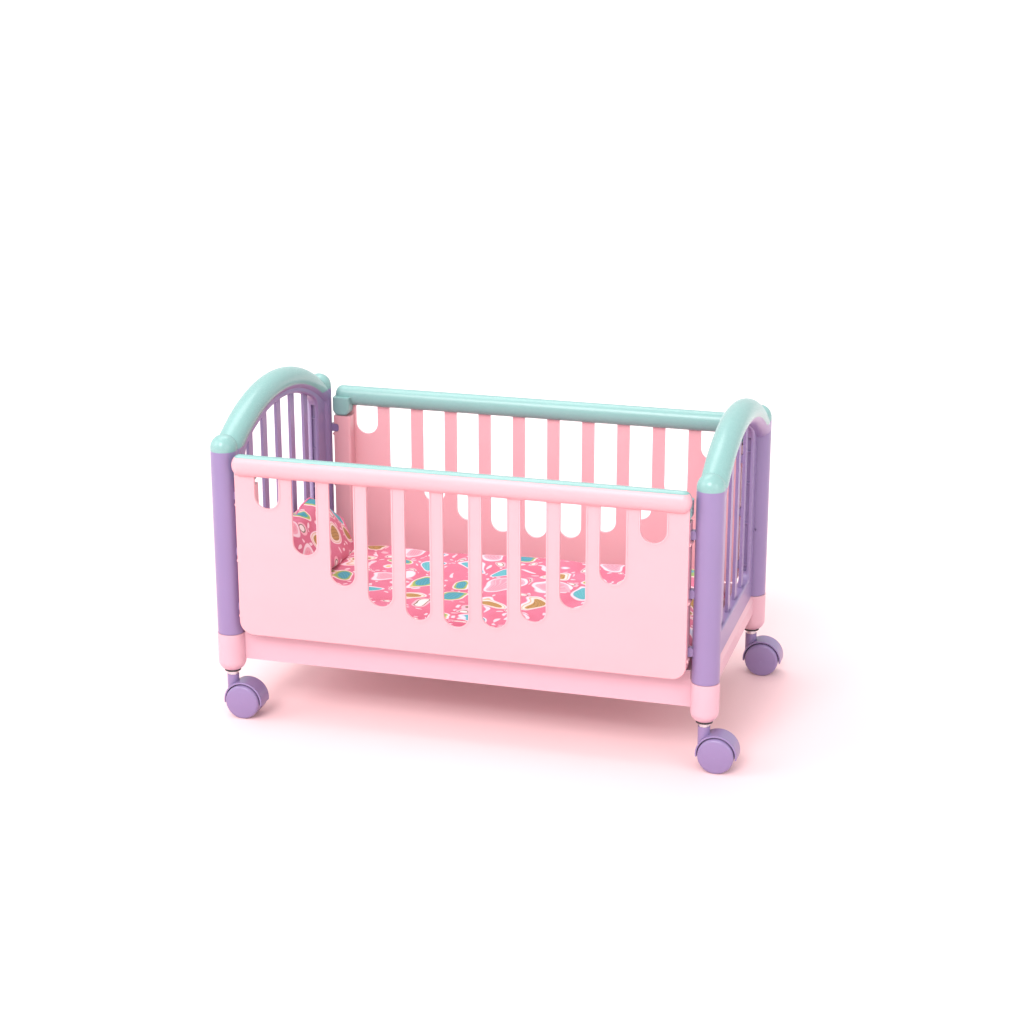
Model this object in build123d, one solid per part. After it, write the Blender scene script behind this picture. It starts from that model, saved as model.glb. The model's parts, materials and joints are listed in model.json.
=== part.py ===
from build123d import *
import os
from math import sqrt

# A toy doll's cot on four twin-wheel casters, in millimetres.
# +X runs towards the foot end, +Y towards the back, +Z up.
# The origin is on the floor, under the middle of the cot.

# ---- posts and arches of the two end frames ----
POST_X = 245.0              # post axes, from the middle of the cot
POST_Y = 131.0
TUBE_R = 13.5               # posts and arch are one tube size
INNER_TUBE_R = 10.4         # the part of the frame that the arch cap sleeves over
CAP_BORE_R = 10.5
COT_HEIGHT = 330.0
ARCH_R = 215.0              # radius of the arch centreline
ARCH_CENTRE_Z = COT_HEIGHT - TUBE_R - ARCH_R
CAP_EDGE_R = ARCH_R - 4.6   # the cap reaches this far down the sides of the arch
POST_BOTTOM = 89.5
POST_TOP = 281.5            # joint between the post and the cap
DOME_Z = POST_TOP + 2.3     # centre of the rounded post top
POST_CHAMFER = 0.7
POST_BORE_R = 11.0
POST_FLOOR = 3.0            # solid height left at the foot of the bore, and at its top
ARCH_BORE_R = 7.5
ARCH_UNDER = 0.1            # the arch is this much thinner than the posts it runs into

# ---- slatted opening of the end frames ----
FLANGE_X = (235.0, 246.0)   # the flat border inside the posts
SLAT_X = (239.5, 242.5)
SLAT_COUNT = 5
SLAT_PITCH = 38.0
SLAT_WIDTH = 11.0
SLAT_ROOT = 5.0             # how far the slats run into the border
OPENING_HALF = 100.0
OPENING_R = ARCH_R - TUBE_R - 1.0
OPENING_BOTTOM = 115.0
OPENING_TOP_R = 20.0        # corners of the opening
OPENING_FOOT_R = 8.0
RAIL_BOTTOM = 90.5
OPENING_ROUND = 2.4         # rounding of the opening's rim
CHANNEL_WIDTH = 4.6         # groove down the edge of the border
CHANNEL_DEPTH = 3.0
CHANNEL_Z = (123.0, 276.0)
CHANNEL_RIBS = (130.0, 176.0, 220.0, 254.0)
RIB_THICK = 1.2
DIMPLE_R = 1.25             # small blind hole in each post
DIMPLE_DEPTH = 1.8
DIMPLE_Z = 165.0
DIMPLE_OFFSET = 2.5

# ---- side panels ----
PANEL_HALF = 228.5
PANEL_IN = 144.0            # inner face of the plate
PANEL_OUT = 146.6
PANEL_BOTTOM = 94.1
PANEL_CORNER_R = 14.0
PANEL_ROUND = (1.1, 0.5)    # rounding of the plate's outer and inner edges
PANEL_TOP = 279.9           # the plate's upper edge, under the rail cap
RAIL_Z = 271.5              # middle of the top rail
RAIL_RADII = (8.9, 10.9)    # half its depth and half its height
RAIL_OUT = 153.9            # outermost point of the cot's width
RAIL_Y = RAIL_OUT - RAIL_RADII[0]
RAIL_HALF = 230.5
RAIL_NOSE = 8.5             # length of its rounded ends
SLOT_COUNT = 11
SLOT_PITCH = 38.9
SLOT_WIDTH = 25.5
SLOT_TOP = 261.5
SLOT_LOWEST = 124.6
SLOT_ARC_R = 233.6          # the slot ends lie on this arc
RIM_WIDTH = 1.4
RIM_PROUD = 0.5
UPRIGHT_X = 208.9           # the boxed uprights at the panel's ends start here
UPRIGHT_Y = 130.0           # their inner face
UPRIGHT_Z = (99.5, 250.8)
UPRIGHT_WALL = 2.2
UPRIGHT_ROUND = (3.0, 1.2)  # rounding of its inner edges, towards the middle and the end
HOOK_HEIGHTS = (120.0, 178.5, 237.0)
HOOK_TIP_X = 223.0
HOOK_Y = (131.0, 137.8)
HOOK_TALL = 8.6
HOOK_ROUND = 3.0
HOOK_SLACK = 0.4            # room round the hook in the upright's notch
NUB_R = 1.7                 # small stops on the panel ends, below each hook
NUB_DROP = 7.4
TAB_X = (210.3, 229.5)      # the rail cap's end tabs
TAB_Y = 129.4
TAB_BOTTOM = 251.1
TAB_ROUND = 7.0
TAB_EDGE_R = 3.0
RAIL_CAP_WALL = 2.2
CAP_SLACK = 0.1             # gap between the rail cap and the panel
BULGE_ROOT = 1.2            # how far the rail's bulge runs into the plate
WIDE = (-300, 300)

# ---- base tray ----
TRAY_HALF_Y = 130.0
TRAY_END_X = 248.2
TRAY_WALL = 2.5
APRON_BOTTOM = 61.3
END_APRON_BOTTOM = 70.5
APRON_TOP = 98.0
FLOOR_BOTTOM = 80.0
FLOOR_TOP = 82.5
CUP_R = 14.0
CUP_BOTTOM = 50.0
CUP_ROUND = 10.0            # height of the cup's rounded foot
CUP_FOOT_R = 8.4
CUP_CURVE = (12.5, 53.9)    # radius and height of a point on the rounded foot
SPIGOT_R = 10.5
SPIGOT_BOTTOM = 72.0
SPIGOT_WALL = 2.2
SPIGOT_SLACK = 0.1
SILL_HALF = 230.0           # length of the raised part of the long aprons
TRAY_RIB_BOTTOM = 71.0      # stiffening ribs under the floor
TRAY_RIB_HALF = 1.0
TRAY_RIBS_X = (-150.0, -75.0, 75.0, 150.0)
TRAY_RIBS_Y = (-60.0, 60.0)
END_RAMP_Z = 84.0           # the end apron slopes in from here to the end frame's foot

# ---- mattress and pillow ----
MATTRESS_HALF = (229.5, 127.2)
MATTRESS_Z = (82.8, 104.0)
MATTRESS_CORNER_R = 20.0
MATTRESS_EDGE_R = 6.0
PILLOW_HALF_WIDTH = 97.0
PILLOW_RADII = (43.0, 14.0)
PILLOW_CENTRE = (-208.5, 0.0, 144.0)
PILLOW_LEAN = 65.0          # degrees up from the mattress, its top against the head end

# ---- casters ----
WHEEL_R = 17.8
WHEEL_TRAIL = 13.8
WHEEL_IN = 1.9              # inner and outer side of a wheel, from the middle of the caster
WHEEL_OUT = 15.6
WHEEL_SHOULDER = (11.6, 14.2)       # the tread ends at the first, the domed face at the second
WHEEL_FACE_R = 15.6
WHEEL_POCKET = (14.2, 7.5)          # radius and depth of the hollow behind the face
WHEEL_HUB_R = 5.0
HOOD_R = 20.4
HOOD_BORE_R = 18.9
HOOD_HALF = 10.6
HOOD_LIP_Z = 15.0
HOOD_ROUND = 0.7
WEB_HALF = 1.5
AXLE_R = 1.6
AXLE_HALF = 8.8
AXLE_BOSS_R = 5.6
WHEEL_BORE_R = 1.65
SOCKET_R = 6.0
SOCKET_Z = (22.0, 43.8)
STEM_PIN_R = 3.0
STEM_PIN_BOTTOM = 35.0
STEM_R = 4.0
STEM_TOP = 68.0
COLLAR_R = 5.5
COLLAR_TOP = 47.9
BUSH_FLANGE_R = 8.3
BUSH_R = 6.5
BUSH_BOTTOM = 48.0
BUSH_TOP = 70.0
RUN = 0.05                  # radial clearance of a running fit

CORNERS = {
    "front_left": (-1, -1),
    "front_right": (1, -1),
    "back_left": (-1, 1),
    "back_right": (1, 1),
}


# ---- helpers: flat sketches pushed out along one axis ----
def slab_x(sketch, start, end):
    return extrude(Plane.YZ.offset(start) * sketch, amount=end - start)


def slab_y(sketch, start, end):
    return extrude(Plane.XZ.offset(-start) * sketch, amount=start - end)


def slab_z(sketch, start, end):
    return extrude(Plane.XY.offset(start) * sketch, amount=end - start)


def block(x, y, z):
    """A box from three (low, high) pairs."""
    middle = Pos((x[0] + x[1]) / 2, (y[0] + y[1]) / 2, (z[0] + z[1]) / 2)
    return middle * Box(x[1] - x[0], y[1] - y[0], z[1] - z[0])


def upright(x, y, radius, bottom, top):
    return Pos(x, y, (bottom + top) / 2) * Cylinder(radius, top - bottom)


def mirrored(part, plane):
    return mirror(part, about=plane)


# ---- end frames and their caps ----
def arch_tube(radius):
    """The arch, from post axis to post axis."""
    centre = (POST_X, 0, ARCH_CENTRE_Z)
    rise = sqrt(ARCH_R ** 2 - POST_Y ** 2)
    ends = [(POST_X, side * POST_Y, ARCH_CENTRE_Z + rise) for side in (-1, 1)]
    crown = (POST_X, 0, ARCH_CENTRE_Z + ARCH_R)
    path = ThreePointArc(ends[0], crown, ends[1])
    ring = Plane(origin=centre, x_dir=(0, 1, 0), z_dir=(1, 0, 0)) * Torus(ARCH_R, radius)
    keep = block((POST_X - 30, POST_X + 30), (-POST_Y, POST_Y), (path.start_point().Z - 40, COT_HEIGHT + 5))
    return ring & keep


def turned(points, dome_r, dome_z):
    """A turned post: straight steps up from its foot, then a rounded top."""
    low_x, low_z = points[0]
    steps = Polyline((0, low_z), *points, (dome_r, dome_z))
    top = (0, dome_z + dome_r)
    dome = CenterArc((0, dome_z), dome_r, 0, 90)
    profile = make_face(steps + dome + Line(top, (0, low_z)))
    return revolve(Plane.XZ * profile, axis=Axis.Z)


def at_posts(piece):
    """The same piece on both post axes."""
    return [Pos(POST_X, side * POST_Y) * piece for side in (-1, 1)]


def arch_and_post_tops(radius, bottom):
    shape = arch_tube(radius - ARCH_UNDER)
    for top in at_posts(turned([(radius, bottom)], radius, DOME_Z)):
        shape += top
    return shape


def cap_region():
    """Everything above the joint line between the frame and its cap."""
    above = block((200, 290), (-160, 160), (POST_TOP, COT_HEIGHT + 10))
    inside = slab_x(Pos(0, ARCH_CENTRE_Z) * Circle(CAP_EDGE_R), 190, 300)
    return above - inside


def end_cap():
    shell = arch_and_post_tops(TUBE_R, POST_TOP) & cap_region()
    return shell - arch_and_post_tops(CAP_BORE_R, POST_TOP - 5)


def opening_sketch():
    tall = COT_HEIGHT - OPENING_BOTTOM
    column = Pos(0, OPENING_BOTTOM + tall / 2) * Rectangle(2 * OPENING_HALF, tall)
    face = column & (Pos(0, ARCH_CENTRE_Z) * Circle(OPENING_R))
    corners = face.vertices().sort_by(Axis.Y)
    face = fillet(corners[-2:], OPENING_TOP_R)
    return fillet(face.vertices().sort_by(Axis.Y)[:2], OPENING_FOOT_R)


def slat_sketch():
    foot = OPENING_BOTTOM - SLAT_ROOT
    tall = COT_HEIGHT - foot
    bars = Sketch()
    for number in range(SLAT_COUNT):
        across = (number - (SLAT_COUNT - 1) / 2) * SLAT_PITCH
        bars += Pos(across, foot + tall / 2) * Rectangle(SLAT_WIDTH, tall)
    return bars & (Pos(0, ARCH_CENTRE_Z) * Circle(OPENING_R + SLAT_ROOT))


def border_sketch():
    tall = COT_HEIGHT - RAIL_BOTTOM
    column = Pos(0, RAIL_BOTTOM + tall / 2) * Rectangle(2 * POST_Y, tall)
    disc = Pos(0, ARCH_CENTRE_Z) * Circle(ARCH_R - INNER_TUBE_R + 3)
    return (column & disc) - opening_sketch()


def border():
    """The flat border inside the posts, with the rim of its opening rounded on both faces."""
    plain = slab_x(border_sketch(), *FLANGE_X)
    rims = [face.inner_wires()[0].edges() for face in (plain.faces().sort_by(Axis.X)[0],
                                                       plain.faces().sort_by(Axis.X)[-1])]
    return fillet(rims[0] + rims[1], OPENING_ROUND)


def dimple(side):
    """A small blind hole in the post, on the side that faces the other post."""
    depth = sorted((side * (POST_Y - TUBE_R - 1), side * (POST_Y - TUBE_R + DIMPLE_DEPTH)))
    return slab_y(Pos(POST_X + DIMPLE_OFFSET, DIMPLE_Z) * Circle(DIMPLE_R), *depth)


def channel(side):
    """The groove in the inner edge of the border, beside one post."""
    middle = (FLANGE_X[0] + FLANGE_X[1]) / 2
    low, high = CHANNEL_Z
    slot = Pos(middle, (low + high) / 2) * SlotOverall(high - low, CHANNEL_WIDTH, rotation=90)
    start = side * (OPENING_HALF - 1)
    end = side * (OPENING_HALF + CHANNEL_DEPTH)
    groove = slab_y(slot, start, end)
    for height in CHANNEL_RIBS:
        rib_y = sorted((side * (OPENING_HALF + 1), end + side))
        rib_z = (height - RIB_THICK / 2, height + RIB_THICK / 2)
        groove -= block((middle - 4, middle + 4), rib_y, rib_z)
    return groove


def hook_sketch(height, slack=0.0):
    """The outline of a hook's tongue, seen along Y."""
    tip = HOOK_TIP_X - slack
    root = POST_X - POST_BORE_R
    tall = HOOK_TALL + 2 * slack
    return Pos((tip + root) / 2, height) * RectangleRounded(root - tip, tall, HOOK_ROUND)


def hook(side, height):
    """A tongue on the post that holds one end of a side panel."""
    return slab_y(hook_sketch(height), *sorted((side * HOOK_Y[0], side * HOOK_Y[1])))


def end_frame():
    frame = arch_tube(TUBE_R - ARCH_UNDER) - cap_region()
    frame += arch_tube(INNER_TUBE_R - ARCH_UNDER)
    frame += border()
    frame += slab_x(slat_sketch(), *SLAT_X)
    for post in at_posts(post_outside()):
        frame += post
    for side in (-1, 1):
        for height in HOOK_HEIGHTS:
            frame += hook(side, height)
    frame -= arch_tube(ARCH_BORE_R)
    for bore in at_posts(post_bore()):
        frame -= bore
    for side in (-1, 1):
        frame -= channel(side)
        frame -= dimple(side)
    return frame


def post_outside():
    steps = [
        (SPIGOT_R, SPIGOT_BOTTOM),
        (SPIGOT_R, POST_BOTTOM),
        (TUBE_R - POST_CHAMFER, POST_BOTTOM),
        (TUBE_R, POST_BOTTOM + POST_CHAMFER),
        (TUBE_R, POST_TOP),
        (INNER_TUBE_R, POST_TOP),
    ]
    return turned(steps, INNER_TUBE_R, DOME_Z)


def post_bore():
    spigot_bore = SPIGOT_R - SPIGOT_WALL
    steps = [
        (spigot_bore, SPIGOT_BOTTOM - 1),
        (spigot_bore, POST_BOTTOM + POST_FLOOR),
        (POST_BORE_R, POST_BOTTOM + POST_FLOOR),
        (POST_BORE_R, POST_TOP - POST_FLOOR),
        (ARCH_BORE_R, POST_TOP - POST_FLOOR),
    ]
    return turned(steps, ARCH_BORE_R, DOME_Z)


# ---- side panels and their rail caps, built at the back ----
def slot_bottom(number):
    across = number * SLOT_PITCH
    return SLOT_LOWEST + SLOT_ARC_R - sqrt(SLOT_ARC_R ** 2 - across ** 2)


def slot_sketch(number, grow=0.0):
    """One slot of a side panel, with a round lower end."""
    radius = SLOT_WIDTH / 2 + grow
    low = slot_bottom(number) + SLOT_WIDTH / 2
    straight = Pos(0, (low + SLOT_TOP) / 2) * Rectangle(2 * radius, SLOT_TOP - low)
    return Pos(number * SLOT_PITCH, 0) * (straight + Pos(0, low) * Circle(radius))


def slot_numbers():
    half = SLOT_COUNT // 2
    return range(-half, half + 1)


def rail_envelope():
    """The outside of the top rail, which the panel's bulge and the rail cap share."""
    depth, height = RAIL_RADII
    straight = RAIL_HALF - RAIL_NOSE
    outline = Rectangle(2 * straight, 2 * depth)
    for end in (-straight, straight):
        outline += Pos(end, 0) * Ellipse(RAIL_NOSE, depth)
    profile = outline & (Pos(0, depth) * Rectangle(3 * RAIL_HALF, 2 * depth))
    round_rail = revolve(profile, axis=Axis.X)
    return Pos(0, RAIL_Y, RAIL_Z) * scale(round_rail, by=(1, 1, height / depth))


def panel_outline():
    tall = PANEL_TOP - PANEL_BOTTOM
    outline = Pos(0, PANEL_BOTTOM + tall / 2) * Rectangle(2 * PANEL_HALF, tall)
    outline = fillet(outline.vertices().sort_by(Axis.Y)[:2], PANEL_CORNER_R)
    return fillet(outline.vertices().sort_by(Axis.Y)[-2:], RAIL_NOSE)


def end_upright():
    """The boxed upright behind the +X end of a side panel, open at the bottom."""
    shell = block((UPRIGHT_X, PANEL_HALF), (UPRIGHT_Y, PANEL_IN + 0.5), UPRIGHT_Z)
    shell &= slab_y(panel_outline(), UPRIGHT_Y - 1, PANEL_OUT)
    inner_edges = shell.faces().sort_by(Axis.Y)[0].edges().filter_by(Axis.Z).sort_by(Axis.X)
    shell = fillet(inner_edges[0], UPRIGHT_ROUND[0])
    inner_edges = shell.faces().sort_by(Axis.Y)[0].edges().filter_by(Axis.Z).sort_by(Axis.X)
    shell = fillet(inner_edges[-1], UPRIGHT_ROUND[1])
    room_x = (UPRIGHT_X + UPRIGHT_WALL, PANEL_HALF - UPRIGHT_WALL)
    room_z = (UPRIGHT_Z[0] - 1, UPRIGHT_Z[1] - UPRIGHT_WALL)
    shell -= block(room_x, (UPRIGHT_Y + UPRIGHT_WALL, PANEL_IN), room_z)
    for height in HOOK_HEIGHTS:
        shell -= slab_y(hook_sketch(height, HOOK_SLACK), UPRIGHT_Y - 1, HOOK_Y[1] + HOOK_SLACK)
        nub = Pos(PANEL_HALF, height - NUB_DROP) * Circle(NUB_R)
        shell += slab_y(nub, UPRIGHT_Y + 1.5, PANEL_IN)
    return shell


def side_panel():
    plate = slab_y(panel_outline(), PANEL_IN, PANEL_OUT)
    plate = fillet(plate.faces().sort_by(Axis.Y)[-1].edges(), PANEL_ROUND[0])
    plate = fillet(plate.faces().sort_by(Axis.Y)[0].edges(), PANEL_ROUND[1])
    for number in slot_numbers():
        plate += slab_y(slot_sketch(number, RIM_WIDTH), PANEL_OUT - 0.5, PANEL_OUT + RIM_PROUD)
    for number in slot_numbers():
        plate -= slab_y(slot_sketch(number), PANEL_IN - 1, PANEL_OUT + 1)
    plate += rail_envelope() & block(WIDE, (PANEL_OUT - BULGE_ROOT, 160), (250, PANEL_TOP))
    upright_box = end_upright()
    return plate + upright_box + mirrored(upright_box, Plane.YZ)


def end_tab():
    """The tab that the rail cap turns down over the top of the +X upright."""
    width = TAB_X[1] - TAB_X[0]
    tall = RAIL_Z - TAB_BOTTOM
    front = Pos((TAB_X[0] + TAB_X[1]) / 2, TAB_BOTTOM + tall / 2) * Rectangle(width, tall)
    front = fillet(front.vertices().sort_by(Axis.Y)[:2], TAB_ROUND)
    body = slab_y(front, TAB_Y, PANEL_IN - CAP_SLACK)
    rim = body.faces().sort_by(Axis.Y)[0].edges().sort_by(Axis.Z)[:-1]
    return fillet(rim, TAB_EDGE_R)


def rail_cap():
    tab = end_tab()
    shell = rail_envelope() + tab + mirrored(tab, Plane.YZ)
    inner = block(WIDE, (100, PANEL_IN - CAP_SLACK), (200, 300))
    crest = block(WIDE, (PANEL_IN - 2 * CAP_SLACK, 160), (PANEL_TOP + CAP_SLACK, 300))
    depth, height = (radius - RAIL_CAP_WALL for radius in RAIL_RADII)
    bore = slab_x(Pos(RAIL_Y, RAIL_Z) * Ellipse(depth, height), -TAB_X[0], TAB_X[0]) & inner
    return (shell & (inner + crest)) - bore


# ---- base tray ----
def end_apron():
    top_in = FLANGE_X[1] - 3
    top = RAIL_BOTTOM - 0.1
    points = [
        (top_in, top),
        (FLANGE_X[1], top),
        (TRAY_END_X, END_RAMP_Z),
        (TRAY_END_X, END_APRON_BOTTOM),
        (TRAY_END_X - TRAY_WALL, END_APRON_BOTTOM),
        (TRAY_END_X - TRAY_WALL, FLOOR_BOTTOM),
        (top_in, FLOOR_BOTTOM),
    ]
    profile = make_face(Polyline(*points, close=True))
    return slab_y(profile, -POST_Y, POST_Y)


def cup():
    """A corner cup: the post's spigot goes in from above, the caster's bush from below."""
    foot = CUP_BOTTOM + CUP_ROUND
    side = Line((CUP_R, foot), (CUP_R, POST_BOTTOM))
    back = Polyline((CUP_R, POST_BOTTOM), (0, POST_BOTTOM), (0, CUP_BOTTOM), (CUP_FOOT_R, CUP_BOTTOM))
    curve = ThreePointArc((CUP_FOOT_R, CUP_BOTTOM), CUP_CURVE, (CUP_R, foot))
    profile = make_face(side + back + curve)
    body = revolve(Plane.XZ * profile, axis=Axis.Z)
    return body - upright(0, 0, SPIGOT_R + SPIGOT_SLACK, SPIGOT_BOTTOM - 0.5, POST_BOTTOM)


def base_tray():
    tray = block((-POST_X, POST_X), (-TRAY_HALF_Y, TRAY_HALF_Y), (FLOOR_BOTTOM, FLOOR_TOP))
    for side in (-1, 1):
        wall_y = sorted((side * (TRAY_HALF_Y - TRAY_WALL), side * TRAY_HALF_Y))
        tray += block((-POST_X, POST_X), wall_y, (APRON_BOTTOM, POST_BOTTOM))
        tray += block((-SILL_HALF, SILL_HALF), wall_y, (APRON_BOTTOM, APRON_TOP))
    apron = end_apron()
    tray += apron
    tray += mirrored(apron, Plane.YZ)
    rib_z = (TRAY_RIB_BOTTOM, FLOOR_BOTTOM)
    for x in TRAY_RIBS_X:
        tray += block((x - TRAY_RIB_HALF, x + TRAY_RIB_HALF), (1 - TRAY_HALF_Y, TRAY_HALF_Y - 1), rib_z)
    for y in TRAY_RIBS_Y:
        tray += block((-POST_X, POST_X), (y - TRAY_RIB_HALF, y + TRAY_RIB_HALF), rib_z)
    for x_side, y_side in CORNERS.values():
        place = Pos(x_side * POST_X, y_side * POST_Y)
        tray -= place * upright(0, 0, CUP_R - 0.5, CUP_BOTTOM, 120)
        tray += place * cup()
        tray -= place * upright(0, 0, BUSH_R + 0.1, CUP_BOTTOM - 1, BUSH_TOP + 0.1)
    return tray


# ---- mattress and pillow ----
def mattress():
    sheet = RectangleRounded(2 * MATTRESS_HALF[0], 2 * MATTRESS_HALF[1], MATTRESS_CORNER_R)
    pad = slab_z(sheet, *MATTRESS_Z)
    rims = pad.faces().sort_by(Axis.Z)
    return fillet(rims[0].edges() + rims[-1].edges(), MATTRESS_EDGE_R)


def pillow():
    section = slab_y(Ellipse(*PILLOW_RADII), -PILLOW_HALF_WIDTH, PILLOW_HALF_WIDTH)
    side = SlotOverall(2 * PILLOW_HALF_WIDTH, 2 * PILLOW_RADII[1])
    pad = section & slab_x(side, -PILLOW_RADII[0] - 1, PILLOW_RADII[0] + 1)
    return Pos(*PILLOW_CENTRE) * Rotation(0, PILLOW_LEAN, 0) * pad


# ---- casters, built about their own stem with the wheels trailing towards +X ----
def across_y(radius, low, high, x=WHEEL_TRAIL, z=WHEEL_R):
    return slab_y(Pos(x, z) * Circle(radius), low, high)


def caster_bush():
    bush = upright(0, 0, BUSH_FLANGE_R, BUSH_BOTTOM, CUP_BOTTOM - RUN)
    bush += upright(0, 0, BUSH_R, CUP_BOTTOM - RUN, BUSH_TOP)
    return bush - upright(0, 0, STEM_R + 0.03, BUSH_BOTTOM - 1, STEM_TOP + 0.5)


def caster_stem():
    seat = SOCKET_Z[1] + 0.1
    stem = upright(0, 0, STEM_PIN_R, STEM_PIN_BOTTOM, seat)
    stem += upright(0, 0, COLLAR_R, seat, COLLAR_TOP)
    stem += upright(0, 0, STEM_R, COLLAR_TOP, STEM_TOP)
    return chamfer(stem.edges().sort_by(Axis.Z)[-1], 0.8)


def caster_hood():
    keep = block((-60, 60), (-30, 30), (HOOD_LIP_Z, 60))
    hood = across_y(HOOD_R, -HOOD_HALF, HOOD_HALF)
    hood = fillet(hood.edges().filter_by(GeomType.CIRCLE), HOOD_ROUND) & keep
    hood += upright(0, 0, SOCKET_R, *SOCKET_Z)
    for side in (-1, 1):
        low, high = sorted((side * WEB_HALF, side * 30))
        hood -= across_y(HOOD_BORE_R, low, high)
    hood += across_y(AXLE_BOSS_R, -WEB_HALF, WEB_HALF)
    hood -= across_y(AXLE_R + 0.02, -WEB_HALF - 1, WEB_HALF + 1)
    return hood - upright(0, 0, STEM_PIN_R + RUN, STEM_PIN_BOTTOM - 0.1, SOCKET_Z[1] + 1)


def caster_axle():
    return across_y(AXLE_R, -AXLE_HALF, AXLE_HALF)


def caster_wheel(side):
    """One of the two wheels, a domed cup on a hub; side is the end of the axle it is on."""
    tread_end, face_end = WHEEL_SHOULDER
    tread = Polyline((0, WHEEL_IN), (WHEEL_R, WHEEL_IN), (WHEEL_R, tread_end))
    face = TangentArc((0, WHEEL_OUT), (WHEEL_FACE_R, face_end), tangent=(1, 0))
    middle = ((WHEEL_R + WHEEL_FACE_R) / 2 + 0.4, (tread_end + face_end) / 2 + 0.4)
    edge = ThreePointArc((WHEEL_R, tread_end), middle, (WHEEL_FACE_R, face_end))
    back = Line((0, WHEEL_OUT), (0, WHEEL_IN))
    profile = make_face(tread + edge + face + back)
    wheel = Pos(WHEEL_TRAIL, 0, WHEEL_R) * revolve(profile, axis=Axis.Y)
    pocket_r, pocket_end = WHEEL_POCKET
    wheel -= across_y(pocket_r, WHEEL_IN - 1, pocket_end) - across_y(WHEEL_HUB_R, WHEEL_IN - 2, WHEEL_OUT)
    wheel -= across_y(WHEEL_BORE_R, WHEEL_IN - 1, AXLE_HALF + 0.2)
    return wheel if side > 0 else mirrored(wheel, Plane.XZ)


# ---- the whole cot, one entry per node ----
def nodes():
    frame = end_frame()
    cap = end_cap()
    panel = side_panel()
    rail = rail_cap()
    parts = {
        "base_tray": base_tray(),
        "foot_frame": frame,
        "head_frame": mirrored(frame, Plane.YZ),
        "foot_arch_cap": cap,
        "head_arch_cap": mirrored(cap, Plane.YZ),
        "back_panel": panel,
        "front_panel": mirrored(panel, Plane.XZ),
        "back_rail_cap": rail,
        "front_rail_cap": mirrored(rail, Plane.XZ),
        "mattress": mattress(),
        "pillow": pillow(),
    }
    pieces = {
        "bush": caster_bush(),
        "stem": caster_stem(),
        "hood": caster_hood(),
        "axle": caster_axle(),
    }
    for corner, (x_side, y_side) in CORNERS.items():
        place = Pos(x_side * POST_X, y_side * POST_Y)
        for name, piece in pieces.items():
            parts[corner + "_" + name] = place * piece
        parts[corner + "_wheel_outer"] = place * caster_wheel(y_side)
        parts[corner + "_wheel_inner"] = place * caster_wheel(-y_side)
    return parts


os.makedirs("parts", exist_ok=True)
for node, part in nodes().items():
    export_step(part, os.path.join("parts", node + ".step"))
    print(node, round(part.volume))
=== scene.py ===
import json
from math import cos, exp, pi, radians, sin

import bmesh
import bpy
from mathutils import Matrix, Vector, noise
from mathutils.bvhtree import BVHTree


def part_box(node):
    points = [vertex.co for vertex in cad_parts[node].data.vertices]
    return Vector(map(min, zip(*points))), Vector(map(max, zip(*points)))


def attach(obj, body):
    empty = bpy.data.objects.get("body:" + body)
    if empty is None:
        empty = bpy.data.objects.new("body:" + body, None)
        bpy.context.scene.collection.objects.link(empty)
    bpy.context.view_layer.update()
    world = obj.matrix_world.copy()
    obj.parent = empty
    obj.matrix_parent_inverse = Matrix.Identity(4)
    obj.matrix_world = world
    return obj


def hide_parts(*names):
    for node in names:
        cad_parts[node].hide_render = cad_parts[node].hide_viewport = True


# A toy doll's cot. Metres, +X towards the foot end, +Y towards the back, +Z up.
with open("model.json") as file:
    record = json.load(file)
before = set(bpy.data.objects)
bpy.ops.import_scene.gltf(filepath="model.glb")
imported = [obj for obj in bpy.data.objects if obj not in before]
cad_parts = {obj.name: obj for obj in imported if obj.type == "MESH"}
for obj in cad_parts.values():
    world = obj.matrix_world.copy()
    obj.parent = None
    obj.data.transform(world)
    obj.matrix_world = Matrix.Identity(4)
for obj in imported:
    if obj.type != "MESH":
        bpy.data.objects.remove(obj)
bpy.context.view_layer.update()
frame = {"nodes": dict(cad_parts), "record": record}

MM = 0.001

# ---- camera ----
CAMERA_AZIMUTH = radians(16.05)
CAMERA_ELEVATION = radians(17.56)
CAMERA_TARGET = Vector((0.0146, 0.0, 0.1996))
CAMERA_DISTANCE = 2.168
CAMERA_LENS = 74.2

# ---- studio ----
FLOOR_HALF = 30.0
FLOOR_GLOW = 0.04
PAINTED_SHADE_TO = 0.4         # painted shade: the pale floor is painted pinker round the cot, for its shadow and pink bounce light, out to this distance, and white from here on
WHITE_FLOOR_FROM = 1.6      # and white from here on
SKY_STRENGTH = 0.97
SUN_STRENGTH = 1.85
SUN_FROM = (-0.10, -0.75, 0.65)
SUN_SPREAD = radians(28)
SOFTBOX_AIM = Vector((0, 0, 0.15))
SOFTBOXES = (               # name, place, size, watts
    ("left_softbox", (-2.1, -1.2, 1.5), (1.5, 1.5), 24.0),
    ("right_softbox", (2.2, -1.6, 1.0), (1.5, 1.5), 18.0),
    ("front_strip", (0.0, -2.6, 1.9), (3.0, 0.15), 9.0),
    ("top_softbox", (-0.5, 0.4, 2.0), (1.8, 0.9), 18.0),
)

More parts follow.
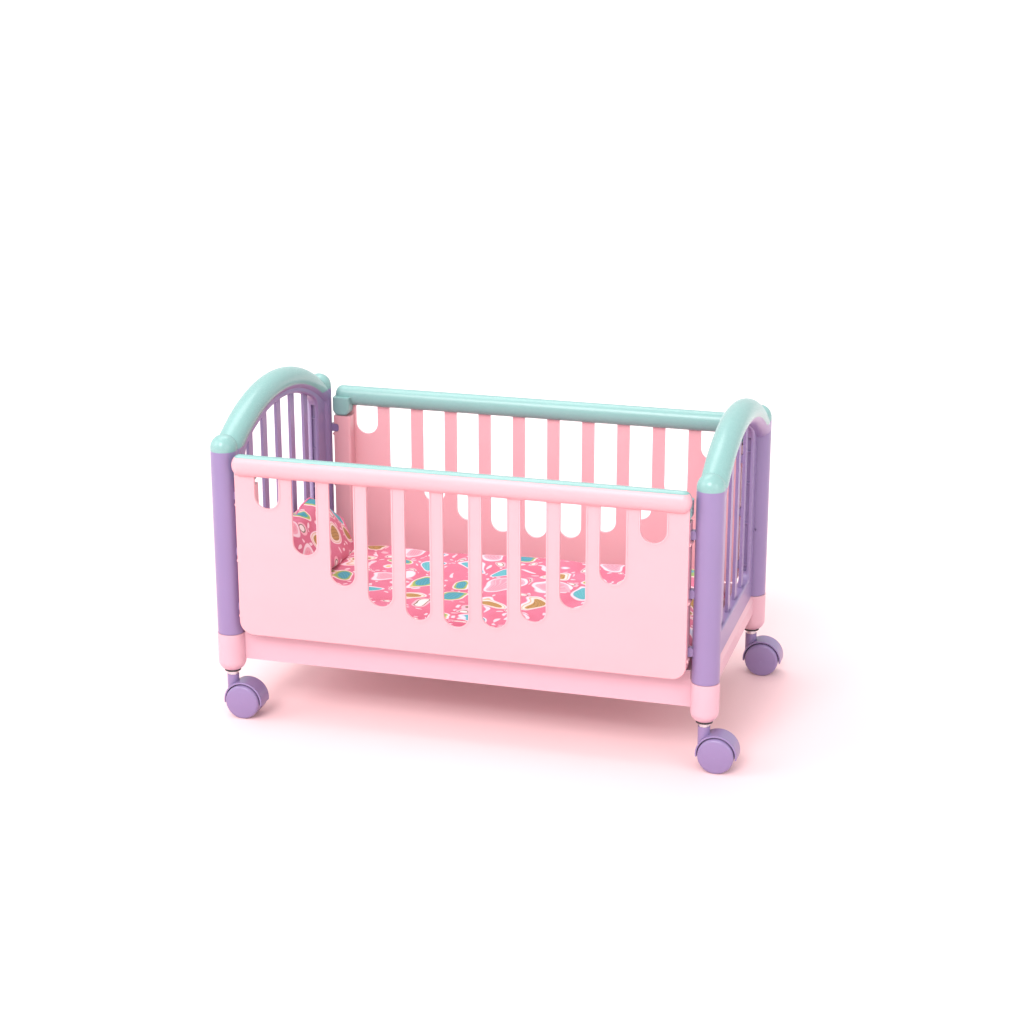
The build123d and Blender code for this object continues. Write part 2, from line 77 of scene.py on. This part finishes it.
# ---- soft goods ----
SEAM_RADIUS = 0.9 * MM
MATTRESS_VOXEL = 5 * MM
MATTRESS_MARGIN = Vector((3.5, 3.5, 2.0)) * MM     # the cover starts this far inside its CAD box
MATTRESS_CORNER = 22 * MM
MATTRESS_EDGE = 7 * MM
MATTRESS_SWELL = 7 * MM     # the most that the cover may swell in the cloth run
LUMPS = 1.6 * MM
CREASES = 0.8 * MM
CROWN = 3.0 * MM
FULLER = 5.6 * MM           # extra filling at the back, and more of it at the foot end
FOOT_END_SHARE = 0.75
GATHERS = 0.7 * MM          # small gathers along the seam: depth, pitch and how far in they reach
GATHER_PITCH = 17 * MM
GATHER_REACH = 13 * MM
SEAM_STEPS = 420
PILLOW_LEAN = radians(65)
PILLOW_MESH = 2.6 * MM
PILLOW_HALF_LONG = 43 * MM
PILLOW_HALF_THICK = 14 * MM
PILLOW_START = 6 * MM       # half its thickness before the cloth run
PILLOW_SWELL = 16 * MM
PILLOW_PRINT_START = (0.31, 0.17)
SLUMP = 0.52                # at its far end the pillow is this share lower and thinner
SLUMP_FROM = 44 * MM
TOP_EDGE_FULL = 0.16        # the long edges are filled out by this share in their middle

# ---- print on the cotton ----
GRAIN_SPACING = 12.5 * MM
MOTIF_SPACING = 43 * MM
GRAIN_HALF = (1.7 * MM, 3.9 * MM)
RING_HALF = (5.6 * MM, 7.2 * MM)
EGG_HALF = (11.5 * MM, 17.5 * MM)
DISC_GROWTH = 1.18
STRIPE_PITCH = 3.6 * MM
THREAD_PITCH = 0.42 * MM
DISC_FROM = 0.70
KINDS_FROM = (0.0, 0.34, 0.58, DISC_FROM)   # shares: plain teal, green-rimmed, brown, striped disc


def srgb(red, green, blue):
    """A colour from 0-255 display values, as the linear RGBA that shaders take."""
    def linear(value):
        value /= 255
        return value / 12.92 if value <= 0.04045 else ((value + 0.055) / 1.055) ** 2.4
    return (linear(red), linear(green), linear(blue), 1.0)


LAVENDER = (0.245, 0.178, 0.345, 1.0)
TEAL = (0.220, 0.390, 0.375, 1.0)
PINK = (0.62, 0.37, 0.43, 1.0)
PALE_PINK = (0.70, 0.362, 0.400, 1.0)
HOT_PINK = srgb(215, 118, 145)

# ---- skin of the moulded plastic ----
FLOW_MARKS = (7.0, 7.0, 18.0)   # marks per metre
SKIN_SCALE = 1500.0
SKIN_DEPTH = 0.012 * MM


# ---------------------------------------------------------------- shader helpers
class Shader:
    """A node material, built with one short call per node."""

    def __init__(self, name):
        self.material = bpy.data.materials.new(name)
        self.material.use_nodes = True
        self.tree = self.material.node_tree
        self.surface = self.tree.nodes["Principled BSDF"]

    def node(self, kind, inputs=None, **settings):
        made = self.tree.nodes.new(kind)
        for key, value in settings.items():
            setattr(made, key, value)
        for key, value in (inputs or {}).items():
            self.feed(made.inputs[key], value)
        return made

    def feed(self, socket, value):
        if isinstance(value, bpy.types.NodeSocket):
            self.tree.links.new(value, socket)
        else:
            socket.default_value = value

    def math(self, operation, *values):
        made = self.node("ShaderNodeMath", operation=operation)
        for socket, value in zip(made.inputs, values):
            self.feed(socket, value)
        return made.outputs[0]

    def remap(self, value, low, high, to_low=0.0, to_high=1.0):
        return self.node("ShaderNodeMapRange", {
            "Value": value, "From Min": low, "From Max": high, "To Min": to_low, "To Max": to_high,
        }).outputs[0]

    def mix(self, share, first, second, blend="MIX"):
        made = self.node("ShaderNodeMix", data_type="RGBA", blend_type=blend)
        self.feed(made.inputs["Factor"], share)
        self.feed(made.inputs[6], first)
        self.feed(made.inputs[7], second)
        return made.outputs[2]

    def noise(self, coords, scale, detail=2.0, roughness=0.5):
        return self.node("ShaderNodeTexNoise", {
            "Vector": coords, "Scale": scale, "Detail": detail, "Roughness": roughness,
        }).outputs["Fac"]

    def bump(self, height, distance, strength=1.0, normal=None):
        made = self.node("ShaderNodeBump", {"Height": height, "Distance": distance, "Strength": strength})
        if normal is not None:
            self.feed(made.inputs["Normal"], normal)
        return made.outputs[0]

    def set(self, **inputs):
        for key, value in inputs.items():
            self.feed(self.surface.inputs[key.replace("_", " ")], value)

    def coords(self, kind="Object"):
        return self.node("ShaderNodeTexCoord").outputs[kind]


# ---------------------------------------------------------------- materials
def moulded_plastic(name, colour, roughness, scatter=0.15):
    """Injection-moulded plastic: faint flow marks, a soft skin and a slightly uneven gloss."""
    s = Shader(name)
    place = s.coords()
    stretched = s.node("ShaderNodeMapping", {"Vector": place, "Scale": FLOW_MARKS}).outputs[0]
    marks = s.noise(stretched, 1.0, 2.0)
    darker = tuple(value * 0.97 for value in colour[:3]) + (1.0,)
    s.set(Base_Color=s.mix(s.remap(marks, 0.3, 0.7), darker, colour))
    skin = s.noise(place, SKIN_SCALE, 2.0)
    s.set(Roughness=s.remap(skin, 0.3, 0.7, roughness - 0.02, roughness + 0.03))
    s.set(Normal=s.bump(skin, SKIN_DEPTH, 0.5))
    s.set(Subsurface_Weight=scatter, Subsurface_Radius=(1.0, 0.6, 0.7), Subsurface_Scale=4 * MM)
    s.set(IOR=1.49)
    return s.material


def plated_steel():
    s = Shader("plated_steel")
    place = s.coords()
    turned = s.node("ShaderNodeMapping", {"Vector": place, "Scale": (300.0, 300.0, 6000.0)}).outputs[0]
    lines = s.noise(turned, 1.0, 2.0)
    tint = s.noise(place, 250.0, 2.0)
    s.set(Base_Color=s.mix(s.remap(tint, 0.3, 0.7), (0.56, 0.56, 0.59, 1), (0.74, 0.74, 0.75, 1)))
    s.set(Metallic=1.0, Roughness=s.remap(lines, 0.3, 0.7, 0.2, 0.34))
    s.set(Normal=s.bump(lines, 0.01 * MM, 0.6))
    return s.material


def black_nylon():
    s = Shader("black_nylon")
    place = s.coords()
    grain = s.noise(place, 900.0, 3.0)
    s.set(Base_Color=s.mix(grain, (0.012, 0.012, 0.014, 1), (0.035, 0.034, 0.038, 1)))
    s.set(Roughness=s.remap(grain, 0.3, 0.7, 0.42, 0.6), Normal=s.bump(grain, 0.03 * MM, 0.6))
    return s.material


def scattered(s, place, spacing, randomness):
    """Cells over the cloth: a point's offset from its cell's centre, and the cell's own random values."""
    cell = s.node("ShaderNodeTexVoronoi", {
        "Vector": place, "Scale": 1 / spacing, "Randomness": randomness,
    }, voronoi_dimensions="2D")
    offset = s.node("ShaderNodeVectorMath", operation="SUBTRACT")
    s.feed(offset.inputs[0], place)
    s.feed(offset.inputs[1], cell.outputs["Position"])
    parts = s.node("ShaderNodeSeparateColor", {"Color": cell.outputs["Color"]})
    turn = s.math("MULTIPLY", parts.outputs[1], 2 * pi)
    turned = s.node("ShaderNodeVectorRotate", {"Vector": offset.outputs[0], "Angle": turn},
                    rotation_type="Z_AXIS")
    spot = s.node("ShaderNodeSeparateXYZ", {"Vector": turned.outputs[0]})
    return spot.outputs[0], spot.outputs[1], parts.outputs[0], parts.outputs[2]


def egg_distance(s, across, along, half_size, size):
    """0 in the middle of an egg shape and 1 on its outline; size is its own scale."""
    half_width, half_length = half_size
    up = s.math("DIVIDE", along, s.math("MULTIPLY", size, half_length))
    wide = s.math("MULTIPLY_ADD", up, 0.28, 1.0)
    side = s.math("DIVIDE", across, s.math("MULTIPLY", s.math("MULTIPLY", size, half_width), wide))
    return s.math("SQRT", s.math("ADD", s.math("POWER", up, 2.0), s.math("POWER", side, 2.0)))


def wavy(s, place, scale, distance):
    """The same cloth coordinates, wandering a little, so that printed outlines look drawn by hand."""
    wobble = s.node("ShaderNodeTexNoise", {"Vector": place, "Scale": scale, "Detail": 1.0}).outputs["Color"]
    wander = s.node("ShaderNodeVectorMath", operation="MULTIPLY_ADD")
    s.feed(wander.inputs[0], wobble)
    wander.inputs[1].default_value = (distance, distance, 0.0)
    s.feed(wander.inputs[2], place)
    return wander.outputs[0]


def printed_cotton():
    """Pink cotton printed with egg shapes, striped discs, rings and scattered grains."""
    s = Shader("printed_cotton")
    place = s.node("ShaderNodeUVMap", uv_map="print").outputs[0]
    inked = wavy(s, place, 45.0, 4 * MM)
    white = srgb(244, 210, 218)
    ground = s.mix(s.remap(s.noise(place, 30.0, 3.0), 0.3, 0.7), srgb(208, 98, 124), HOT_PINK)

    # rice-grain flecks
    x, y, chance, size_of = scattered(s, inked, GRAIN_SPACING, 0.75)
    size = s.remap(size_of, 0.0, 1.0, 0.75, 1.2)
    grain = egg_distance(s, x, y, GRAIN_HALF, size)
    fleck = s.math("MULTIPLY", s.remap(grain, 1.08, 0.9), s.math("GREATER_THAN", chance, 0.1))
    colour = s.mix(fleck, ground, srgb(242, 200, 210))

    # small rings between the large shapes
    half = s.node("ShaderNodeVectorMath", operation="ADD")
    s.feed(half.inputs[0], inked)
    half.inputs[1].default_value = (MOTIF_SPACING / 2, MOTIF_SPACING / 2, 0.0)
    x, y, chance, size_of = scattered(s, half.outputs[0], MOTIF_SPACING, 0.3)
    ring = egg_distance(s, x, y, RING_HALF, s.remap(size_of, 0.0, 1.0, 0.8, 1.15))
    shown = s.math("GREATER_THAN", chance, 0.3)
    for outer, inner, ink in ((1.28, 1.18, ground), (1.06, 0.96, srgb(238, 174, 186)),
                              (0.72, 0.66, srgb(112, 104, 80)), (0.56, 0.50, srgb(240, 218, 216))):
        colour = s.mix(s.math("MULTIPLY", s.remap(ring, outer, inner), shown), colour, ink)

    # large shapes: a fill, a rim, an edge, a white outline and a plain gap round it
    x, y, kind, size_of = scattered(s, inked, MOTIF_SPACING, 0.34)
    size = s.remap(size_of, 0.0, 1.0, 0.82, 1.06)
    big = s.mix(s.math("GREATER_THAN", kind, DISC_FROM), size, s.math("MULTIPLY", size, DISC_GROWTH))
    egg = egg_distance(s, x, y, EGG_HALF, big)
    fill = choose(s, kind, srgb(86, 168, 178), srgb(66, 146, 158),
                  srgb(182, 136, 76), srgb(232, 142, 160))
    rim = choose(s, kind, srgb(86, 168, 178), srgb(140, 170, 96),
                  srgb(240, 212, 204), srgb(236, 162, 178))
    edge = choose(s, kind, srgb(196, 192, 212), srgb(212, 180, 112),
                  srgb(220, 168, 138), white)
    slant = s.math("ADD", x, s.math("MULTIPLY", y, 0.35))
    stripes = s.math("SINE", s.math("MULTIPLY", slant, 2 * pi / STRIPE_PITCH))
    striped = s.math("MULTIPLY", s.remap(stripes, 0.35, 0.8), 0.55)
    pale = choose(s, kind, srgb(106, 184, 190), srgb(90, 158, 192),
                  srgb(138, 98, 54), srgb(240, 184, 196))
    filled = s.mix(striped, fill, pale)
    for outer, inner, ink in ((1.20, 1.15, ground), (1.06, 1.00, white), (0.93, 0.89, edge),
                              (0.86, 0.82, rim), (0.70, 0.66, filled)):
        colour = s.mix(s.remap(egg, outer, inner), colour, ink)
    s.set(Base_Color=colour)

    # plain weave
    axes = s.node("ShaderNodeSeparateXYZ", {"Vector": place})
    threads = 2 * pi / THREAD_PITCH
    warp = s.math("SINE", s.math("MULTIPLY", axes.outputs[0], threads))
    weft = s.math("SINE", s.math("MULTIPLY", axes.outputs[1], threads))
    weave = s.math("MULTIPLY", warp, weft)
    slub = s.noise(place, 700.0, 3.0)
    cloth = s.bump(s.math("MULTIPLY_ADD", slub, 0.6, weave), 0.05 * MM, 0.7)
    s.set(Normal=s.bump(s.noise(place, 60.0, 4.0), 0.5 * MM, 0.4, cloth))
    s.set(Roughness=s.remap(slub, 0.3, 0.7, 0.78, 0.92), Sheen_Weight=0.12, Sheen_Roughness=0.5)
    s.set(Specular_IOR_Level=0.25)
    return s.material


def choose(s, kind, *colours):
    """The colour for each kind of large shape."""
    ramp = s.node("ShaderNodeValToRGB", {"Fac": kind})
    ramp.color_ramp.interpolation = "CONSTANT"
    stops = ramp.color_ramp.elements
    while len(stops) < len(colours):
        stops.new(1.0)
    for stop, position, colour in zip(stops, KINDS_FROM, colours):
        stop.position = position
        stop.color = colour
    return ramp.outputs[0]


def piping_cotton():
    s = Shader("seam_cotton")
    place = s.coords()
    twist = s.noise(place, 1200.0, 2.0)
    s.set(Base_Color=s.mix(s.remap(twist, 0.3, 0.7), srgb(222, 84, 132), srgb(244, 128, 168)))
    s.set(Roughness=0.88, Sheen_Weight=0.25, Normal=s.bump(twist, 0.1 * MM, 0.7))
    return s.material


# ---------------------------------------------------------------- mesh helpers
def new_piece(name, verts, faces, material):
    mesh = bpy.data.meshes.new(name)
    mesh.from_pydata(verts, [], faces)
    mesh.update()
    piece = bpy.data.objects.new(name, mesh)
    bpy.context.collection.objects.link(piece)
    mesh.materials.append(material)
    return piece


def smooth(piece):
    for face in piece.data.polygons:
        face.use_smooth = True


def apply_modifier(piece, kind, **settings):
    modifier = piece.modifiers.new(kind.lower(), kind)
    for key, value in settings.items():
        setattr(modifier, key, value)
    graph = bpy.context.evaluated_depsgraph_get()
    made = bpy.data.meshes.new_from_object(piece.evaluated_get(graph))
    piece.modifiers.clear()
    old = piece.data
    piece.data = made
    bpy.data.meshes.remove(old)


def puff(piece, pressure, frames, cap, stiffness=15.0):
    """Cloth simulation: the cover swells under air pressure, and no point moves further than cap."""
    start = [vertex.co.copy() for vertex in piece.data.vertices]
    cloth = piece.modifiers.new("cloth", "CLOTH")
    cloth.settings.quality = 6
    cloth.settings.use_pressure = True
    cloth.settings.uniform_pressure_force = pressure
    cloth.settings.tension_stiffness = stiffness
    cloth.settings.compression_stiffness = stiffness
    cloth.settings.effector_weights.gravity = 0
    cloth.point_cache.frame_start = 1
    cloth.point_cache.frame_end = frames
    for number in range(1, frames + 1):
        bpy.context.scene.frame_set(number)
    graph = bpy.context.evaluated_depsgraph_get()
    swollen = [vertex.co.copy() for vertex in piece.evaluated_get(graph).data.vertices]
    piece.modifiers.remove(cloth)
    for vertex, before, after in zip(piece.data.vertices, start, swollen):
        move = after - before
        if move.length > cap:
            move *= cap / move.length
        vertex.co = before + move
    bpy.context.scene.frame_set(1)


def tube_loop(name, points, radius, material, sides=8):
    """A thin closed welt along a ring of points."""
    count = len(points)
    verts = []
    for index, point in enumerate(points):
        ahead = points[(index + 1) % count] - points[index - 1]
        ahead.normalize()
        across = ahead.cross(Vector((0, 0, 1)))
        if across.length < 0.2:
            across = ahead.cross(Vector((1, 0, 0)))
        across.normalize()
        up = across.cross(ahead)
        for step in range(sides):
            angle = 2 * pi * step / sides
            verts.append(point + radius * (cos(angle) * across + sin(angle) * up))
    faces = []
    for index in range(count):
        here = index * sides
        there = (index + 1) % count * sides
        for step in range(sides):
            after = (step + 1) % sides
            faces.append((here + step, here + after, there + after, there + step))
    piece = new_piece(name, verts, faces, material)
    smooth(piece)
    return piece


def print_map(piece, place):
    """The printed cloth's own coordinates, in metres, from each corner's place and normal."""
    mesh = piece.data
    layer = mesh.uv_layers.new(name="print")
    for loop in mesh.loops:
        vertex = mesh.vertices[loop.vertex_index]
        layer.data[loop.index].uv = place(vertex.co, vertex.normal)


# ---------------------------------------------------------------- mattress
def superellipse(value, half, power):
    return max(0.0, 1 - abs(value / half) ** power)


def mattress(material, seam_material):
    low, high = (Vector(corner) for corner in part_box("mattress"))
    half = (high - low) / 2
    middle = (high + low) / 2
    bm = bmesh.new()
    bmesh.ops.create_cube(bm, size=2.0)
    for vertex in bm.verts:
        for axis in range(3):
            vertex.co[axis] *= half[axis] - MATTRESS_MARGIN[axis]
    upright = [edge for edge in bm.edges if abs(edge.verts[0].co.z - edge.verts[1].co.z) > MM]
    bmesh.ops.bevel(bm, geom=upright, offset=MATTRESS_CORNER, segments=6, affect="EDGES", profile=0.5)
    rims = [edge for edge in bm.edges if abs(edge.verts[0].co.z - edge.verts[1].co.z) < MM]
    bmesh.ops.bevel(bm, geom=rims, offset=MATTRESS_EDGE, segments=4, affect="EDGES", profile=0.5)
    mesh = bpy.data.meshes.new("mattress_cover")
    bm.to_mesh(mesh)
    bm.free()
    piece = bpy.data.objects.new("mattress_cover", mesh)
    bpy.context.collection.objects.link(piece)
    mesh.materials.append(material)
    apply_modifier(piece, "REMESH", mode="VOXEL", voxel_size=MATTRESS_VOXEL)
    puff(piece, 4.0, 20, MATTRESS_SWELL)
    for vertex in piece.data.vertices:
        point = vertex.co + middle
        # the filling is uneven, and the cover is gathered a little along its seam
        lumps = noise.noise(Vector((point.x, point.y, 0)) * 14) * LUMPS
        creases = noise.noise(Vector((point.x * 30, point.y * 42, 3.0))) * CREASES
        top_share = max(0.0, vertex.co.z / half.z)
        to_end = half.x - abs(vertex.co.x)
        to_side = half.y - abs(vertex.co.y)
        along = vertex.co.x if to_side < to_end else vertex.co.y
        waves = sin(along * 2 * pi / GATHER_PITCH + 3 * noise.noise(point * 20))
        gather = waves * exp(-min(to_end, to_side) / GATHER_REACH) * GATHERS
        crown = CROWN * superellipse(vertex.co.x, half.x, 4) * superellipse(vertex.co.y, half.y, 3)
        back_share = 0.5 + vertex.co.y / half.y / 2
        fuller = FULLER * back_share * (1 + FOOT_END_SHARE * vertex.co.x / half.x)
        point.z += top_share * (lumps + creases + gather + crown + fuller)
        for axis in range(2):
            limit = half[axis] - 0.3 * MM
            point[axis] = max(-limit, min(limit, point[axis]))
        point.z = max(low.z, point.z)
        vertex.co = point
    apply_modifier(piece, "SUBSURF", levels=1)
    smooth(piece)
    print_map(piece, lambda at, normal: (at.x - at.z * normal.x, at.y - at.z * normal.y))

    tree = BVHTree.FromObject(piece, bpy.context.evaluated_depsgraph_get())
    seam = []
    for index in range(SEAM_STEPS):
        angle = 2 * pi * index / SEAM_STEPS
        outward = Vector((cos(angle) * half.x, sin(angle) * half.y, 0)).normalized()
        hit = tree.ray_cast(middle + outward * 0.6, -outward)[0]
        if hit is not None:
            seam.append(hit - outward * SEAM_RADIUS * 0.2)
    welt = tube_loop("mattress_seam", seam, SEAM_RADIUS, seam_material)
    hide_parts("mattress")
    for part in (piece, welt):
        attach(part, "mattress_body")
    return piece


# ---------------------------------------------------------------- pillow
def pillow(material, seam_material):
    """A knife-edge pillow: two sheets sewn round their border, then filled."""
    low, high = (Vector(corner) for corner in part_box("pillow"))
    centre = (low + high) / 2
    half_wide = (high.y - low.y) / 2
    rows = round(2 * PILLOW_HALF_LONG / PILLOW_MESH)
    columns = round(2 * half_wide / PILLOW_MESH)
    bm = bmesh.new()
    sheets = {}
    for side in (1, -1):
        for row in range(rows + 1):
            for column in range(columns + 1):
                border = row in (0, rows) or column in (0, columns)
                if side < 0 and border:
                    sheets[side, row, column] = sheets[1, row, column]
                    continue
                u = (2 * row / rows - 1) * PILLOW_HALF_LONG
                v = (2 * column / columns - 1) * half_wide
                swell = (superellipse(u, PILLOW_HALF_LONG, 2) * superellipse(v, half_wide, 3)) ** 0.5
                height = side * PILLOW_START * swell
                sheets[side, row, column] = bm.verts.new((u, v, height))
    for side in (1, -1):
        for row in range(rows):
            for column in range(columns):
                ring = [sheets[side, row, column], sheets[side, row + 1, column],
                        sheets[side, row + 1, column + 1], sheets[side, row, column + 1]]
                bm.faces.new(ring if side > 0 else ring[::-1])
    border = [sheets[1, row, 0] for row in range(rows)]
    border += [sheets[1, rows, column] for column in range(columns)]
    border += [sheets[1, row, columns] for row in range(rows, 0, -1)]
    border += [sheets[1, 0, column] for column in range(columns, 0, -1)]
    bm.verts.index_update()
    border = [vertex.index for vertex in border]
    mesh = bpy.data.meshes.new("pillow_cover")
    bm.to_mesh(mesh)
    bm.free()
    piece = bpy.data.objects.new("pillow_cover", mesh)
    bpy.context.collection.objects.link(piece)
    mesh.materials.append(material)
    puff(piece, 5.0, 26, PILLOW_SWELL)
    reach = [max(abs(vertex.co[axis]) for vertex in mesh.vertices) for axis in range(3)]
    size = (PILLOW_HALF_LONG, half_wide, PILLOW_HALF_THICK)
    for vertex in mesh.vertices:
        for axis in range(3):
            vertex.co[axis] *= (size[axis] - 0.6 * MM) / reach[axis]
    layer = mesh.uv_layers.new(name="print")
    for loop in mesh.loops:
        at = mesh.vertices[loop.vertex_index].co
        layer.data[loop.index].uv = (at.y + PILLOW_PRINT_START[0], at.x + PILLOW_PRINT_START[1])
    # the top edge slumps towards its far end, where the filling is thin
    for vertex in mesh.vertices:
        vertex.co.x *= 1 + TOP_EDGE_FULL * (1 - (vertex.co.y / half_wide) ** 2)
        share = max(0.0, (vertex.co.y - SLUMP_FROM) / (half_wide - SLUMP_FROM))
        slump = 1 - SLUMP * share ** 1.2
        vertex.co.x = PILLOW_HALF_LONG - (PILLOW_HALF_LONG - vertex.co.x) * slump
        vertex.co.z *= slump
    place = Matrix.Translation(centre) @ Matrix.Rotation(PILLOW_LEAN, 4, "Y")
    mesh.transform(place)
    seam = [mesh.vertices[index].co.copy() for index in border]
    apply_modifier(piece, "SUBSURF", levels=1)
    smooth(piece)
    welt = tube_loop("pillow_seam", seam, SEAM_RADIUS, seam_material)
    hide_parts("pillow")
    for part in (piece, welt):
        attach(part, "pillow_body")
    return piece


# ---------------------------------------------------------------- the moulded and metal parts
def dress_cad_nodes(finishes):
    """Each carried-over CAD node takes its finish from the record's slot."""
    slots = {row["node"]: row["material_slot"] for row in frame["record"]["subparts"]}
    for name, node in frame["nodes"].items():
        material = finishes.get(name) or finishes[slots[name]]
        for place in node.material_slots:
            place.material = material


# ---------------------------------------------------------------- stage
def studio():
    floor = new_piece("studio_floor", [(-FLOOR_HALF, -FLOOR_HALF, 0), (FLOOR_HALF, -FLOOR_HALF, 0),
                                       (FLOOR_HALF, FLOOR_HALF, 0), (-FLOOR_HALF, FLOOR_HALF, 0)],
                      [(0, 1, 2, 3)], None)
    s = Shader("studio_white_with_painted_shade")
    place = s.coords()
    distance = s.node("ShaderNodeVectorMath", {0: place}, operation="LENGTH").outputs["Value"]
    # painted shade: near the cot the floor is painted pink, standing in for the cot's shadow and the pink
    # light bounced from the tray
    painted_shade = s.mix(s.noise(place, 3.0, 2.0), (0.86, 0.60, 0.615, 1), (0.88, 0.62, 0.635, 1))
    s.set(Base_Color=s.mix(s.remap(distance, PAINTED_SHADE_TO, WHITE_FLOOR_FROM), painted_shade, (0.95, 0.93, 0.93, 1)))
    s.set(Roughness=0.6, Specular_IOR_Level=0.2)
    # a faint pink glow over the whole floor: painted light, lifting the shade under the cot and tinting it
    # pink
    s.set(Emission_Color=(1.0, 0.7, 0.7, 1.0), Emission_Strength=FLOOR_GLOW)
    floor.data.materials[0] = s.material

    world = bpy.data.worlds.new("studio")
    bpy.context.scene.world = world
    world.use_nodes = True
    world.node_tree.nodes["Background"].inputs["Color"].default_value = (1, 1, 1, 1)
    world.node_tree.nodes["Background"].inputs["Strength"].default_value = SKY_STRENGTH

    light = bpy.data.lights.new("overhead", "SUN")
    light.energy = SUN_STRENGTH
    light.angle = SUN_SPREAD
    lamp = bpy.data.objects.new("overhead", light)
    bpy.context.collection.objects.link(lamp)
    lamp.rotation_mode = "QUATERNION"
    lamp.rotation_quaternion = Vector(SUN_FROM).to_track_quat("Z", "Y")
    for row in SOFTBOXES:
        softbox(*row)


def softbox(name, place, size, power):
    light = bpy.data.lights.new(name, "AREA")
    light.shape = "RECTANGLE"
    light.size, light.size_y = size
    light.energy = power
    lamp = bpy.data.objects.new(name, light)
    bpy.context.collection.objects.link(lamp)
    lamp.location = place
    lamp.rotation_mode = "QUATERNION"
    lamp.rotation_quaternion = (lamp.location - SOFTBOX_AIM).to_track_quat("Z", "Y")


def camera():
    lens = bpy.data.cameras.new("camera")
    lens.sensor_width = 36.0
    lens.lens = CAMERA_LENS
    lens.clip_end = 50.0
    eye = bpy.data.objects.new("camera", lens)
    bpy.context.collection.objects.link(eye)
    back = Vector((sin(CAMERA_AZIMUTH) * cos(CAMERA_ELEVATION),
                   -cos(CAMERA_AZIMUTH) * cos(CAMERA_ELEVATION), sin(CAMERA_ELEVATION)))
    eye.location = CAMERA_TARGET + CAMERA_DISTANCE * back
    eye.rotation_mode = "QUATERNION"
    eye.rotation_quaternion = (-back).to_track_quat("-Z", "Y")
    bpy.context.scene.camera = eye


scene = bpy.context.scene
scene.view_settings.view_transform = "Standard"
scene.view_settings.look = "None"

cotton = printed_cotton()
seam_cotton = piping_cotton()
finishes = {
    "lavender_plastic": moulded_plastic("lavender_plastic", LAVENDER, 0.30),
    "teal_plastic": moulded_plastic("teal_plastic", TEAL, 0.26),
    "pink_plastic": moulded_plastic("pink_plastic", PINK, 0.36, scatter=0.2),
    "pale_pink_plastic": moulded_plastic("pale_pink_plastic", PALE_PINK, 0.38, scatter=0.2),
    "printed_fabric": cotton,
    "steel": plated_steel(),
    "black_plastic": black_nylon(),
}
dress_cad_nodes(finishes)
mattress(cotton, seam_cotton)
pillow(cotton, seam_cotton)
studio()
camera()
